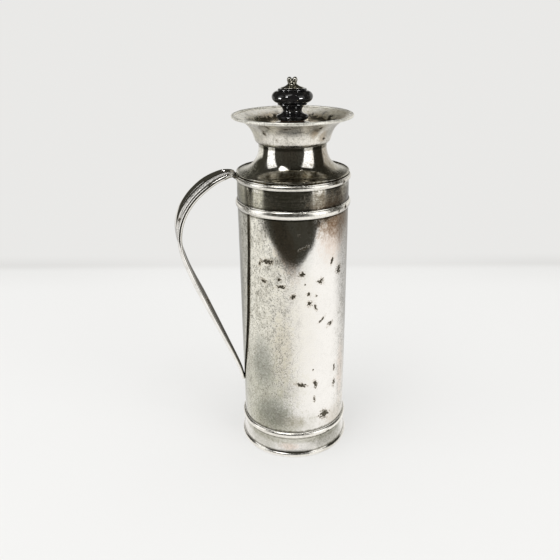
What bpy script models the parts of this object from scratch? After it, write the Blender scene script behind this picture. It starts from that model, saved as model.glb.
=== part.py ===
"""Silver-plated vacuum jug: a tall case with strap handle, screw-on shoulder, funnel collar and lifting stopper.

The frame is in metres with +Z up. The origin is on the case's axis at the plane the foot stands on, and the
handle points towards -X. Heights and radii below are in millimetres and are turned into metres by MM.
"""

import math

import bmesh
import bpy
from mathutils import Matrix, Vector

MM = 0.001
GAP = 0.3  # clearance between pieces that touch on the real object

# Case
BODY_R = 42.1
WALL = 0.9
BODY_TOP = 228.2
BODY_BOTTOM = 20.1
FOOT_FLOOR = 1.0
FOOT_TOP = BODY_BOTTOM - GAP
FOOT_LIP_R = 44.9
BEAD_PROUD = 1.5
FOOT_BEAD_Z = 20.1
FOOT_BEAD_HEIGHT = 5.4
WAIST_BEAD_Z = 206.7
WAIST_BEAD_HEIGHT = 5.8
TOP_BEAD_Z = 226.3
TOP_BEAD_HEIGHT = 4.0

# Shoulder and neck
NECK_R = 25.2
NECK_TOP = 250.6
NECK_CURVE_Z = 248.0
SHOULDER_LOW = 229.9
SHOULDER_EDGE_R = 42.2
SKIRT_R = 38.9
SKIRT_BOTTOM = 215.4
THREAD_RING_BOTTOM = 214.0
THREAD_RING_TOP = 227.6

# Collar
COLLAR_BOTTOM = NECK_TOP + GAP
THROAT_R = 18.9
RIM_R = 43.2
RIM_Z = 269.9
RIM_WIRE_R = 1.15

# Glass flask
GLASS_WALL = 1.1
GLASS_R = 37.6
GLASS_BOTTOM = 15.5
GLASS_DOME = 24.0
GLASS_SHOULDER_Z = 206.0
GLASS_SHOULDER_DOME = 24.0
GLASS_NECK_R = 21.0
GLASS_NECK_TOP = 245.8
VACUUM_GAP = 2.2
INNER_NECK_R = 18.9

# Stopper
ROD_R = 1.5
HOLE_R = ROD_R + GAP
CORK_R = 17.4
CORK_BOTTOM = 224.0
CAP_R = 20.6
CAP_BOTTOM = COLLAR_BOTTOM + WALL + GAP
CAP_TOP = 265.6
KNOB_BOTTOM = 267.0
KNOB_TOP = 288.4
FINIAL_BOTTOM = KNOB_TOP + GAP
FINIAL_BALLS = 4
FINIAL_HOLE = 3.6  # depth of the finial's blind hole, which ends below the balls
HANDLE_TURN = 8.5  # degrees that the camera stands round from the side square to the handle

# Handle
HANDLE_END_R = 43.8
HANDLE_STATIONS = 34
HANDLE_SECTION_POINTS = 20
HANDLE_REEDS = 3

# Looks: (kind, colour, roughness, metallic, alpha)
SILVER = ("silver_plate", (0.78, 0.76, 0.71), 0.24, 1.0, 1.0)
BLACK = ("black_lacquer", (0.012, 0.011, 0.010), 0.16, 0.0, 1.0)
CORK = ("cork", (0.55, 0.36, 0.2), 0.85, 0.0, 1.0)
RUBBER = ("rubber", (0.05, 0.045, 0.04), 0.7, 0.0, 1.0)
STEEL = ("steel", (0.5, 0.5, 0.5), 0.4, 1.0, 1.0)
BRASS = ("brass", (0.75, 0.55, 0.25), 0.35, 1.0, 1.0)
GLASS = ("silvered_glass", (0.8, 0.84, 0.86), 0.08, 0.0, 0.6)
FELT = ("felt", (0.6, 0.58, 0.52), 0.95, 0.0, 1.0)
LEATHER = ("leather", (0.12, 0.07, 0.04), 0.7, 0.0, 1.0)

# Number of steps in one turn
STEPS = 36
GLASS_STEPS = 28
SMALL_STEPS = 20


def clear_scene():
    for obj in list(bpy.data.objects):
        bpy.data.objects.remove(obj, do_unlink=True)


def new_collection(name):
    collection = bpy.data.collections.new(name)
    bpy.context.scene.collection.children.link(collection)
    return collection


def material(part, look):
    """A material of the part's own, with the colour, roughness and metallic value of its look."""
    kind, colour, roughness, metallic, alpha = look
    made = bpy.data.materials.new(f"{part}_{kind}")
    made.use_nodes = True
    shader = made.node_tree.nodes["Principled BSDF"]
    shader.inputs["Base Color"].default_value = (*colour, 1.0)
    shader.inputs["Roughness"].default_value = roughness
    shader.inputs["Metallic"].default_value = metallic
    shader.inputs["Alpha"].default_value = alpha
    made.diffuse_color = (*colour, alpha)
    return made


def arc(centre, radii, start, end, count):
    """Points on an elliptical arc in the (radius, height) plane, angles in degrees, both ends included."""
    points = []
    for index in range(count + 1):
        angle = math.radians(start + (end - start) * index / count)
        points.append((centre[0] + radii[0] * math.cos(angle), centre[1] + radii[1] * math.sin(angle)))
    return points


def smooth_line(points, per_span):
    """A Catmull-Rom curve through 2D or 3D points."""
    vectors = [Vector(point) for point in points]
    ends = [2 * vectors[0] - vectors[1], *vectors, 2 * vectors[-1] - vectors[-2]]
    line = []
    for index in range(1, len(ends) - 2):
        a, b, c, d = ends[index - 1 : index + 3]
        for step in range(per_span):
            t = step / per_span
            line.append(
                0.5 * (2 * b + (c - a) * t + (2 * a - 5 * b + 4 * c - d) * t**2 + (3 * b - a - 3 * c + d) * t**3)
            )
    line.append(vectors[-1])
    return [tuple(point) for point in line]


def offset_inward(line, distance):
    """The line moved to its inner side, which is on the right of a line that runs down the outer side."""
    moved = []
    for index, point in enumerate(line):
        before = Vector(line[max(index - 1, 0)])
        after = Vector(line[min(index + 1, len(line) - 1)])
        here = Vector(point)
        directions = [(b - a).normalized() for a, b in ((before, here), (here, after)) if (b - a).length > 0]
        normal = sum((Vector((-d.y, d.x)) for d in directions), Vector((0.0, 0.0))).normalized()
        miter = normal.dot(Vector((-directions[0].y, directions[0].x)))
        moved.append(tuple(here - normal * distance / max(miter, 0.5)))
    return moved


def sheet(line, wall):
    """Closed section of sheet metal whose outer face is the line."""
    return [*line, *offset_inward(line, wall)[::-1]]


def add_object(name, mesh, parts, look):
    obj = bpy.data.objects.new(name, mesh)
    mesh.materials.append(material(name, look))
    parts.objects.link(obj)
    return obj


def smooth_shade(mesh, angle=35.0):
    mesh.shade_smooth()
    mesh.set_sharp_from_angle(angle=math.radians(angle))


def turned(name, profile, parts, look, steps=STEPS, closed=True):
    """A section of (radius, height) points in mm, running down the outer side, turned about Z.

    A closed section makes a ring. An open one starts and ends on the axis.
    """
    mesh = bpy.data.meshes.new(name)
    points = [(radius * MM, 0.0, height * MM) for radius, height in profile]
    edges = [(index, index + 1) for index in range(len(points) - 1)]
    if closed:
        edges.append((len(points) - 1, 0))
    mesh.from_pydata(points, edges, [])
    obj = add_object(name, mesh, parts, look)
    screw = obj.modifiers.new("turn", "SCREW")
    screw.axis = "Z"
    screw.steps = steps
    screw.render_steps = steps
    screw.use_merge_vertices = True
    screw.merge_threshold = 0.00001
    screw.use_smooth_shade = True
    return obj


def half_round(z, height, inner_r, proud):
    """Closed section of a half-round moulding with a small fillet step at both edges."""
    half = height / 2
    step = 0.35
    low_r = BODY_R + step
    outer = arc((low_r, z), (proud - step, half - 0.5), 72, -72, 4)
    return [(inner_r, z + half), (low_r, z + half), *outer, (low_r, z - half), (inner_r, z - half)]


def build_beads(parts):
    inner_r = BODY_R + GAP
    turned("foot_bead", half_round(FOOT_BEAD_Z, FOOT_BEAD_HEIGHT, inner_r, BEAD_PROUD + 0.3), parts, SILVER)
    turned("waist_bead", half_round(WAIST_BEAD_Z, WAIST_BEAD_HEIGHT, inner_r, BEAD_PROUD), parts, SILVER)
    turned("top_bead", half_round(TOP_BEAD_Z, TOP_BEAD_HEIGHT, inner_r, BEAD_PROUD - 0.2), parts, SILVER)


def build_body_tube(parts):
    inner_r = BODY_R - WALL
    section = [(inner_r, BODY_TOP), (BODY_R, BODY_TOP), (BODY_R, BODY_BOTTOM), (inner_r, BODY_BOTTOM)]
    turned("body_tube", section, parts, SILVER)


def build_foot_cup(parts):
    """Concave foot band with a rolled lip; the floor closes the case and is flush with the lip."""
    band = smooth_line([(BODY_R, FOOT_TOP), (41.8, 14.0), (42.1, 8.5), (43.7, 3.4)], 2)
    lip = arc((43.7, 1.7), (FOOT_LIP_R - 43.7, 1.6), 55, -55, 3)
    inner_r = BODY_R - WALL
    inside = [(0.0, FOOT_FLOOR), (inner_r, FOOT_FLOOR), (inner_r, FOOT_TOP)]
    turned("foot_cup", [*inside, *band, *lip, (43.7, 0.0), (0.0, 0.0)], parts, SILVER, closed=False)


def build_thread_ring(parts):
    outer_r = BODY_R - WALL - GAP
    inner_r = SKIRT_R + GAP
    section = [(inner_r, THREAD_RING_TOP), (outer_r, THREAD_RING_TOP), (outer_r, THREAD_RING_BOTTOM),
               (inner_r, THREAD_RING_BOTTOM)]
    turned("case_thread_ring", section, parts, BRASS)


def build_shoulder(parts):
    """Neck, concave shoulder with a small rounded edge, and the skirt that screws into the case."""
    centre = (42.5, NECK_CURVE_Z)
    radii = (centre[0] - NECK_R, centre[1] - SHOULDER_LOW)
    outer = [(NECK_R, NECK_TOP), *arc(centre, radii, 180, 264, 7)]
    edge = arc((SHOULDER_EDGE_R - 0.8, 229.8), (0.8, 0.8), 45, -90, 3)
    under = BODY_TOP + GAP
    skirt_inner = SKIRT_R - 1.0
    skirt = [(40.6, 229.0), (40.6, under), (SKIRT_R, under), (SKIRT_R, SKIRT_BOTTOM), (skirt_inner, SKIRT_BOTTOM)]
    inner_radii = (radii[0] + WALL, radii[1] + WALL)
    inner = [*arc(centre, inner_radii, 255, 180, 5), (NECK_R - WALL, NECK_TOP)]
    turned("shoulder_neck", [*outer, *edge, *skirt, *inner], parts, SILVER)


def build_collar(parts):
    """Funnel with a rounded lower edge, and a flange inward that closes the neck down to the throat."""
    funnel = [(41.7, 268.8), (38.3, 267.3), (35.2, 265.5), (32.4, 263.0), (30.4, 260.2), (29.0, 257.2)]
    edge = [(28.2, 254.6), (27.5, 252.5), (25.4, COLLAR_BOTTOM)]
    turned("pouring_collar", sheet([*funnel, *edge, (THROAT_R, COLLAR_BOTTOM)], WALL), parts, SILVER)
    turned("rim_wire", arc((RIM_R, RIM_Z), (RIM_WIRE_R, RIM_WIRE_R), 90, -225, 7), parts, SILVER)


def build_gasket(parts):
    """Ring that sits over the rim of the glass neck and fills the space to the metal neck."""
    outer_r = NECK_R - WALL - GAP
    lip_r = THROAT_R - 0.2
    over_glass = GLASS_NECK_TOP + GAP + GLASS_WALL + GAP
    section = [(lip_r, NECK_TOP), (outer_r, NECK_TOP), (outer_r, 241.0), (GLASS_NECK_R + GAP, 241.0),
               (GLASS_NECK_R + GAP, over_glass), (lip_r, over_glass)]
    turned("neck_gasket", section, parts, RUBBER)


def glass_line(radius, bottom_height, neck_r, shoulder_dome):
    """Side of a flask from the neck down to the axis at the bottom: neck, shoulder, wall and domed end."""
    shoulder = arc((neck_r, GLASS_SHOULDER_Z), (radius - neck_r, shoulder_dome), 90, 0, 4)
    bottom = arc((0.0, GLASS_BOTTOM + GLASS_DOME), (radius, bottom_height), 0, -90, 4)
    return [*shoulder, *bottom[:-1], (0.0, bottom[-1][1])]


def build_glass(parts):
    """Two glass walls. They meet at the rim of the neck, where the inner one turns over the outer one."""
    outside = glass_line(GLASS_R, GLASS_DOME, GLASS_NECK_R, GLASS_SHOULDER_DOME)
    tip = [(2.6, outside[-2][1] - 1.0), (2.2, 12.5), (1.2, 11.2), (0.0, 10.8)]
    outside = [(GLASS_NECK_R, GLASS_NECK_TOP), *[point for point in outside if point[0] > tip[0][0]],
               (2.6, GLASS_BOTTOM + 0.1), *tip[1:]]
    inside = glass_line(GLASS_R - GLASS_WALL, GLASS_DOME - GLASS_WALL, GLASS_NECK_R - GLASS_WALL,
                        GLASS_SHOULDER_DOME - GLASS_WALL)
    inside = [(GLASS_NECK_R - GLASS_WALL, GLASS_NECK_TOP), *inside]
    turned("glass_outer", [*inside[::-1], *outside], parts, GLASS, GLASS_STEPS, closed=False)

    inner_r = GLASS_R - GLASS_WALL - VACUUM_GAP
    inner_dome = GLASS_DOME - GLASS_WALL - VACUUM_GAP
    lip_low = GLASS_NECK_TOP + GAP
    lip_high = lip_low + GLASS_WALL - 0.2
    outside = glass_line(inner_r, inner_dome, INNER_NECK_R, GLASS_SHOULDER_DOME - 5.0)
    outside = [(GLASS_NECK_R, lip_high), (GLASS_NECK_R, lip_low), (INNER_NECK_R, lip_low), *outside]
    inside = glass_line(inner_r - GLASS_WALL, inner_dome - GLASS_WALL, INNER_NECK_R - GLASS_WALL,
                        GLASS_SHOULDER_DOME - 5.0 - GLASS_WALL)
    inside = [(INNER_NECK_R - GLASS_WALL, lip_high), *inside]
    turned("glass_inner", [*inside[::-1], *outside], parts, GLASS, GLASS_STEPS, closed=False)


def build_vacuum_pads(parts):
    """Three small discs that keep the two glass walls apart near the bottom."""
    radius = 3.0 * MM
    depth = (VACUUM_GAP - 2 * GAP) * MM
    middle = (GLASS_R - GLASS_WALL - VACUUM_GAP / 2 - 0.15) * MM
    for index in range(3):
        name = f"vacuum_pad_{index + 1}"
        mesh = bpy.data.meshes.new(name)
        shape = bmesh.new()
        bmesh.ops.create_cone(shape, cap_ends=True, segments=12, radius1=radius, radius2=radius, depth=depth)
        shape.to_mesh(mesh)
        shape.free()
        obj = add_object(name, mesh, parts, FELT)
        turn = Matrix.Rotation(math.radians(30 + 120 * index), 4, "Z")
        lay_down = Matrix.Rotation(math.radians(90), 4, "Y")
        obj.matrix_world = turn @ Matrix.Translation((middle, 0.0, 0.055)) @ lay_down


def build_support(parts):
    """Rubber cushion shaped to the bottom of the glass, the plate under it and the spring under that."""
    plate_top = 9.7
    plate_bottom = 8.7
    cushion_bottom = plate_top + GAP
    inner_r = 9.0
    outer_r = 25.0
    dome = (GLASS_R + GAP, GLASS_DOME + GAP)
    seat = []
    for index in range(5):
        radius = inner_r + (outer_r - inner_r) * index / 4
        seat.append((radius, GLASS_BOTTOM + GLASS_DOME - dome[1] * math.sqrt(1 - (radius / dome[0]) ** 2)))
    turned("liner_cushion", [*seat, (outer_r, cushion_bottom), (inner_r, cushion_bottom)], parts, RUBBER,
           steps=GLASS_STEPS)
    plate = [(4.0, plate_top), (24.0, plate_top), (24.0, plate_bottom), (4.0, plate_bottom)]
    turned("spring_plate", plate, parts, STEEL, steps=SMALL_STEPS)

    wire_r = 0.9
    coil_r = 17.0
    turns = 2.5
    low = FOOT_FLOOR + GAP + wire_r
    high = plate_bottom - GAP - wire_r
    count = int(turns * 16)
    curve = bpy.data.curves.new("support_spring", "CURVE")
    curve.dimensions = "3D"
    curve.bevel_depth = wire_r * MM
    curve.bevel_resolution = 1
    curve.use_fill_caps = True
    spline = curve.splines.new("POLY")
    spline.points.add(count)
    for index in range(count + 1):
        angle = 2 * math.pi * turns * index / count
        height = low + (high - low) * index / count
        spline.points[index].co = (coil_r * MM * math.cos(angle), coil_r * MM * math.sin(angle), height * MM, 1.0)
    curve.materials.append(material("support_spring", STEEL))
    parts.objects.link(bpy.data.objects.new("support_spring", curve))


def build_stopper(parts):
    """Everything that lifts out: cork, dome cap, rod with nut and washer, knob and finial."""
    cork_section = [(HOLE_R, 262.6), (12.0, 262.6), (CORK_R, 256.5), (CORK_R, 250.0), (CORK_R - 1.0, CORK_BOTTOM),
                    (HOLE_R, CORK_BOTTOM)]
    turned("stopper_cork", cork_section, parts, CORK, steps=GLASS_STEPS)

    dome = [(9.0, CAP_TOP), (12.6, 264.8), (16.0, 262.6), (18.6, 259.4), (20.1, 255.8), (CAP_R, CAP_BOTTOM)]
    turned("stopper_cap", sheet([(HOLE_R, CAP_TOP), *dome], WALL), parts, SILVER, steps=GLASS_STEPS)

    washer_top = CAP_TOP + 1.1
    leather_section = [(HOLE_R, washer_top), (9.0, washer_top), (9.0, CAP_TOP + GAP), (HOLE_R, CAP_TOP + GAP)]
    turned("knob_washer", leather_section, parts, LEATHER, steps=SMALL_STEPS)

    plate_top = CORK_BOTTOM - GAP
    plate_bottom = plate_top - 1.2
    plate = [(HOLE_R, plate_top), (12.0, plate_top), (12.0, plate_bottom), (HOLE_R, plate_bottom)]
    turned("stopper_washer", plate, parts, STEEL, steps=SMALL_STEPS)
    nut_top = plate_bottom - GAP
    nut_bottom = nut_top - 2.6
    hex_hole_r = HOLE_R + 0.2
    nut = [(hex_hole_r, nut_top), (3.6, nut_top), (3.6, nut_bottom), (hex_hole_r, nut_bottom)]
    turned("rod_nut", nut, parts, STEEL, steps=6)
    rod_top = FINIAL_BOTTOM + FINIAL_HOLE - GAP
    rod = [(0.0, rod_top), (ROD_R, rod_top - 0.3), (ROD_R, nut_bottom - 0.6),
           (ROD_R - 0.4, nut_bottom - 1.0), (0.0, nut_bottom - 1.0)]
    turned("stopper_rod", rod, parts, STEEL, steps=12, closed=False)

    build_knob(parts)
    build_finial(parts)


def build_knob(parts):
    """Turned knob: top moulding, flattened bulb, thin ring, cove and foot flange."""
    top_ring = arc((9.6, KNOB_TOP - 0.8), (0.8, 0.8), 90, -70, 3)
    bulb = arc((9.9, 282.8), (4.95, 4.15), 74, -74, 8)
    thin_ring = arc((9.9, 277.8), (0.8, 0.7), 80, -80, 2)
    cove = [(9.4, 276.8), (8.4, 276.0), (7.4, 274.9), (6.9, 273.4), (7.2, 272.2), (8.3, 271.1), (10.0, 270.4)]
    flange = arc((10.4, 268.7), (1.3, 1.5), 75, -60, 3)
    outer = [(HOLE_R, KNOB_TOP), *top_ring, *bulb, *thin_ring, *cove, *flange]
    turned("knob", [*outer, (10.6, KNOB_BOTTOM), (HOLE_R, KNOB_BOTTOM)], parts, BLACK, steps=GLASS_STEPS)


def build_finial(parts):
    """Nut with a flared skirt and a ring of small balls at its top, joined to the stem."""
    stem = [(0.0, 295.0), (1.6, 294.8), (2.9, 293.3), (3.5, 292.4), (3.2, 291.7)]
    skirt = [(3.9, 290.9), (5.6, 289.9), (8.2, 289.1), (8.3, FINIAL_BOTTOM)]
    hole_top = FINIAL_BOTTOM + FINIAL_HOLE
    hole = [(HOLE_R, FINIAL_BOTTOM), (HOLE_R, hole_top), (0.0, hole_top)]
    nut = turned("finial_nut", [*stem, *skirt, *hole], parts, SILVER, steps=SMALL_STEPS, closed=False)
    helpers = new_collection("helpers")
    helpers.hide_render = True
    ring_r = 2.75
    for index in range(FINIAL_BALLS):
        angle = -math.radians(HANDLE_TURN + 45 + 360 * index / FINIAL_BALLS)
        mesh = bpy.data.meshes.new(f"finial_ball_{index + 1}")
        shape = bmesh.new()
        bmesh.ops.create_icosphere(shape, subdivisions=2, radius=1.85 * MM)
        shape.to_mesh(mesh)
        shape.free()
        ball = bpy.data.objects.new(mesh.name, mesh)
        ball.location = (ring_r * MM * math.cos(angle), ring_r * MM * math.sin(angle), 294.28 * MM)
        ball.hide_render = True
        ball.display_type = "WIRE"
        helpers.objects.link(ball)
        join = nut.modifiers.new(f"ball_{index + 1}", "BOOLEAN")
        join.operation = "UNION"
        join.solver = "EXACT"
        join.object = ball


def reeded_section(half_width, half_thick):
    """Section of a strap with rounded reeds on both faces, as (across, out) pairs round the strap."""
    points = []
    for index in range(HANDLE_SECTION_POINTS):
        angle = 2 * math.pi * index / HANDLE_SECTION_POINTS
        across = math.cos(angle)
        side = 1.0 if math.sin(angle) >= 0 else -1.0
        reed = abs(math.cos(HANDLE_REEDS * math.pi * (across + 1) / 2 - math.pi / 2))
        edge = math.sqrt(max(1 - across * across, 0.0)) ** 0.5
        points.append((half_width * across, side * half_thick * edge * (0.72 + 0.28 * reed)))
    return points


def ease(stations, values, at):
    """Smooth value between stations, with level ends at each of them."""
    for index in range(len(stations) - 1):
        if at <= stations[index + 1]:
            t = (at - stations[index]) / (stations[index + 1] - stations[index])
            t = t * t * (3 - 2 * t)
            return values[index] + (values[index + 1] - values[index]) * t
    return values[-1]


def build_handle(parts):
    """Strap from the top bead out and down to the lower third of the case, narrowing to its lower end."""
    route = [(42.3, 226.4), (46.2, 229.4), (56.0, 227.2), (67.0, 221.0), (77.5, 211.2), (85.3, 198.5),
             (88.0, 184.0), (85.6, 168.0), (79.6, 150.0), (70.4, 127.5), (57.2, 95.0), (46.4, 67.5), (42.8, 54.0)]
    line = [Vector(point) for point in smooth_line(route, 8)]
    lengths = [0.0]
    for a, b in zip(line, line[1:]):
        lengths.append(lengths[-1] + (b - a).length)
    total = lengths[-1]
    width_at = ([0.0, 0.06, 0.14, 0.34, 0.55, 1.0], [8.5, 14.5, 16.0, 16.0, 13.5, 7.0])
    thick_at = ([0.0, 0.05, 0.5, 1.0], [2.4, 3.3, 3.4, 2.5])
    twist_at = ([0.0, 0.14, 0.24, 0.44, 0.6, 1.0], [14.0, 24.0, 24.0, 0.0, -8.0, -10.0])

    shape = bmesh.new()
    rings = []
    for station in range(HANDLE_STATIONS + 1):
        share = station / HANDLE_STATIONS
        wanted = share * total
        index = max(i for i, length in enumerate(lengths) if length <= wanted + 1e-9)
        index = min(index, len(line) - 2)
        t = (wanted - lengths[index]) / (lengths[index + 1] - lengths[index])
        point = line[index].lerp(line[index + 1], t)
        along = (line[min(index + 2, len(line) - 1)] - line[max(index - 1, 0)]).normalized()
        out = Vector((-along.y, along.x))
        rings.append(handle_ring(shape, point, out, ease(*width_at, share), ease(*thick_at, share),
                                 math.radians(ease(*twist_at, share))))
    for first, second in zip(rings, rings[1:]):
        for index in range(HANDLE_SECTION_POINTS):
            after = (index + 1) % HANDLE_SECTION_POINTS
            shape.faces.new((first[index], first[after], second[after], second[index]))
    shape.faces.new(rings[0][::-1])
    shape.faces.new(rings[-1])
    bmesh.ops.recalc_face_normals(shape, faces=shape.faces)
    mesh = bpy.data.meshes.new("handle_strap")
    shape.to_mesh(mesh)
    shape.free()
    smooth_shade(mesh)
    handle = add_object("handle_strap", mesh, parts, SILVER)
    for name, radius, low, high in (("upper_end_cut", HANDLE_END_R, 205.0, 245.0),
                                    ("lower_end_cut", BODY_R + GAP, 30.0, 90.0)):
        trim = cylinder_cutter(name, radius, low, high)
        cut = handle.modifiers.new(name, "BOOLEAN")
        cut.operation = "DIFFERENCE"
        cut.solver = "EXACT"
        cut.object = trim


def handle_ring(shape, point, out, width, thick, twist):
    """One section of the strap as vertices; the handle lies towards -X, so radius becomes -X."""
    vertices = []
    for across, proud in reeded_section(width / 2, thick / 2):
        normal_part = proud * math.cos(twist) + across * math.sin(twist)
        side_part = across * math.cos(twist) - proud * math.sin(twist)
        radius = point.x + out.x * normal_part
        height = point.y + out.y * normal_part
        vertices.append(shape.verts.new((-radius * MM, side_part * MM, height * MM)))
    return vertices


def cylinder_cutter(name, radius, low, high):
    """Hidden cylinder round the axis that trims a handle end to the curve of the case."""
    mesh = bpy.data.meshes.new(name)
    shape = bmesh.new()
    circumscribed = radius / math.cos(math.pi / (STEPS * 2)) * MM
    bmesh.ops.create_cone(shape, cap_ends=True, segments=STEPS * 2, radius1=circumscribed, radius2=circumscribed,
                          depth=(high - low) * MM)
    shape.to_mesh(mesh)
    shape.free()
    cutter = bpy.data.objects.new(name, mesh)
    cutter.location = (0.0, 0.0, (low + high) / 2 * MM)
    cutter.hide_render = True
    cutter.display_type = "WIRE"
    bpy.data.collections["helpers"].objects.link(cutter)
    return cutter


def main():
    clear_scene()
    parts = new_collection("vacuum_jug")
    build_body_tube(parts)
    build_beads(parts)
    build_foot_cup(parts)
    build_thread_ring(parts)
    build_shoulder(parts)
    build_collar(parts)
    build_gasket(parts)
    build_glass(parts)
    build_vacuum_pads(parts)
    build_support(parts)
    build_stopper(parts)
    build_handle(parts)


main()
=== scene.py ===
"""Looks for the silver-plated vacuum jug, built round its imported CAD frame.

Metres, +Z up, origin on the case's axis at the foot. Sections and sizes of the jug are in millimetres, and MM turns
them into metres. Angles named front_deg are measured round the case, to the right from the side that faces the
camera.
"""

import math

import bmesh
import bpy
from mathutils import Matrix, Vector, noise

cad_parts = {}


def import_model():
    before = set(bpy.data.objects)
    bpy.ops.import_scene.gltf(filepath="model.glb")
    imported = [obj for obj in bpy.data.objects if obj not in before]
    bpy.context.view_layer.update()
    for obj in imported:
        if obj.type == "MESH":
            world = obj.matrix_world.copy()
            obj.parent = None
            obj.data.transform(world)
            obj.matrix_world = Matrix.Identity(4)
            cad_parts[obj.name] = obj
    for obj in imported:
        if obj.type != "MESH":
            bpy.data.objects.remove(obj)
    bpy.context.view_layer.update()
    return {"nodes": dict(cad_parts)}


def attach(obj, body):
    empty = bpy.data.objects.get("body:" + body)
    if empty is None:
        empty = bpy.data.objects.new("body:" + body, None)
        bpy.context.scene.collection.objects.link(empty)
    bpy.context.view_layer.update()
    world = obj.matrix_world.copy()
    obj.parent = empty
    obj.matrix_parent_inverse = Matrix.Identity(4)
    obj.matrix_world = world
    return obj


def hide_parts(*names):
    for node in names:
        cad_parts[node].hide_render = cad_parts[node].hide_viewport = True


MM = 0.001

# Camera, fitted to the photo's view: metres and radians
HANDLE_TURN = math.radians(8.5)  # the camera stands this far round from the side square to the handle
CAMERA_DISTANCE = 0.4641
CAMERA_HEIGHT = 0.3380
CAMERA_PITCH = 0.4026
CAMERA_YAW = 0.0229
CAMERA_ROLL = -0.0140
FOCAL_IN_WIDTHS = 628.0 / 560.0
SENSOR = 36.0

# Steps round the turned pieces
AROUND = 192
AROUND_SMALL = 96
AROUND_NUT = 64

# Main sizes of the turned pieces, in mm
BODY_R = 42.1
WALL = 0.9
CASE_TOP = 228.2
CASE_BOTTOM = 20.1
BEAD_INNER_R = 42.4
BEADS = (  # node, height of its middle, its own height, how far it stands proud of the case
    ("foot_bead", 20.1, 5.4, 1.8),
    ("waist_bead", 206.7, 5.8, 1.5),
    ("top_bead", 226.3, 4.0, 1.3),
)
COLLAR_BOTTOM = 250.9
RIM_CENTRE = (43.2, 269.9)
RIM_RADIUS = 1.15
ROD_HOLE_R = 1.8

# The finial's cluster of balls, in mm
BALLS = 4
BALL_R = 1.85
BALL_RING_R = 2.75
BALL_HEIGHT = 294.28
FINIAL_VOXEL = 0.17

# The strap: (radius, height) of its middle line in mm, and its section at shares of its length
HANDLE_ROUTE = [(42.3, 226.4), (46.2, 229.4), (56.0, 227.2), (67.0, 221.0), (77.5, 211.2), (85.3, 198.5),
                (88.0, 184.0), (85.6, 168.0), (79.6, 150.0), (70.4, 127.5), (57.2, 95.0), (46.4, 67.5), (42.8, 54.0)]
HANDLE_WIDTH = ([0.0, 0.02, 0.06, 0.14, 0.34, 0.55, 1.0], [6.5, 11.0, 14.5, 16.0, 16.0, 13.5, 7.0])
HANDLE_THICK = ([0.0, 0.05, 0.5, 1.0], [2.2, 3.3, 3.4, 2.5])
HANDLE_TWIST = ([0.0, 0.14, 0.24, 0.44, 0.6, 1.0], [14.0, 24.0, 24.0, 0.0, -8.0, -10.0])
HANDLE_STATIONS = 170
HANDLE_POINTS = 72
SOLDERED_SHARE = 0.03  # the dark, soldered stretch at the strap's upper end
REED_EDGES = (-0.58, 0.08)  # the grooves' places across the strap, from its near edge at -1 to its far one at 1
GROOVE_DEPTH = 0.5  # a groove's floor, as a share of half the strap's thickness
GROOVE_WIDTH = 0.09  # how far a groove's dirt and painted shade reach to each side, as a share of half the strap's width
REED_CROWN = 0.36  # how far a broad reed rises over a groove's floor, as a share of half the thickness
INNER_FACE_SHADE = 0.74  # how dark the strap's inner face is painted, as painted shade for the dark case that it faces and reflects, 1 being a groove

# Colours in the silver materials
BRIGHT_SILVER = (0.95, 0.93, 0.895)
TARNISH = (0.50, 0.47, 0.41)
HAZE = (0.55, 0.555, 0.53)
BRUSH_LINE = (0.45, 0.41, 0.36)
HATCH_LINE = (0.30, 0.285, 0.24)
# Dirt in the strap's grooves, and painted shade on its inner face
STRAP_GRIME_AND_SHADE = (0.075, 0.066, 0.05)
SPECK = (0.22, 0.21, 0.165)
WORN_EDGE = (0.42, 0.33, 0.22)
WORN_DARK = (0.03, 0.028, 0.022)
WORN_PALE = (0.16, 0.14, 0.10)
RED_FILM = (0.62, 0.45, 0.36)
PINK_FILM = (0.82, 0.70, 0.62)
BLUE_FILM = (0.70, 0.74, 0.76)
GREY_FILM = (0.42, 0.43, 0.41)
OLIVE_FILM = (0.94, 0.935, 0.84)
BROWN_FILM = (0.45, 0.37, 0.27)
# Dirt with painted shade, for the creases beside beads, edges and seams
GRIME_AND_SHADE = (0.16, 0.15, 0.11)
ALL_ROUND = 900.0  # wider than any wall here is round, in mm

# Stage: metres
FLOOR_SIZE = 4.0
FLOOR_DROP = 0.0002  # how far the floor lies under the foot
WALL_TONE = (0.82, 0.815, 0.80)
WALL_PLACE = 0.377  # how far behind the jug the floor meets the wall
CREASE_TONE = (0.45, 0.44, 0.42)
ROOM_TONE = (0.046, 0.044, 0.035)  # the dim room that reflections show in front
BACKDROP_TONE = (0.84, 0.83, 0.80)  # the pale wall that they show behind
SOFT_TONE = (0.9, 0.9, 0.9)  # what lights the jug's dull parts from all round
TABLE_TONE = (1.0, 0.99, 0.975)
# The part of the table top that shows in reflections: the right half of its outline
TABLE_EDGE = [(0.0, -0.434), (0.27, -0.436), (0.46, -0.392), (0.57, -0.32), (0.635, -0.21), (0.69, -0.11),
              (0.71, 0.15), (0.66, 0.45), (0.6, 0.8)]
TABLE_SKEW = 0.006  # the right half reaches this much further forward than drawn, and the left half less

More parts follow.
